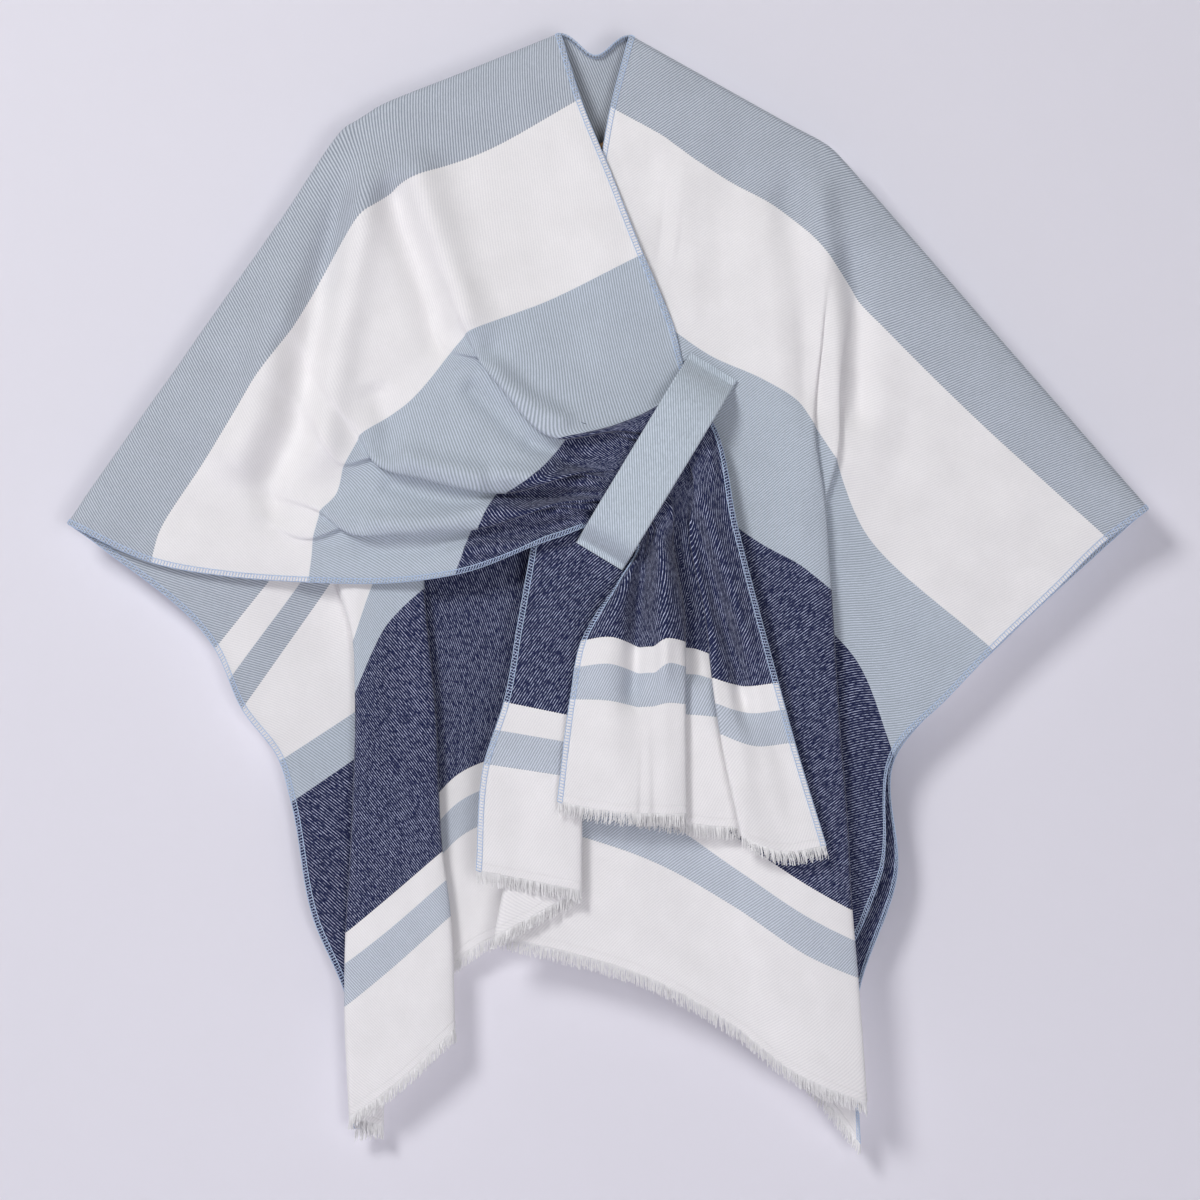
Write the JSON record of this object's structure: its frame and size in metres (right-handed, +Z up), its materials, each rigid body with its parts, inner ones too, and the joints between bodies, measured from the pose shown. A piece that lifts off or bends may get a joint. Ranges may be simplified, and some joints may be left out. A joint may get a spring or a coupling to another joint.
{
  "type": "woven poncho wrap on a hanger bar",
  "caption": "Striped woven poncho wrap with an open front, a fringe and a strap that one front is drawn under, on a hidden hanger bar.",
  "frame": {"origin": "middle of the hanger bar, inside the garment below the neck", "axes": "+Z up, the garment faces -Y, +X to the wearer's left"},
  "size_m": [0.9353, 0.0737, 0.9667],
  "materials": {
    "cloth": "brushed twill",
    "strap_cloth": "brushed twill",
    "fringe": "yarn",
    "bar": "satin"
  },
  "bodies": {
    "root": {"left_front": "cloth", "right_front": "cloth", "back": "cloth", "fringe_left_front": "fringe", "fringe_right_front": "fringe", "fringe_back": "fringe", "strap": "strap_cloth", "hanger": "bar"}
  },
  "joints": []
}
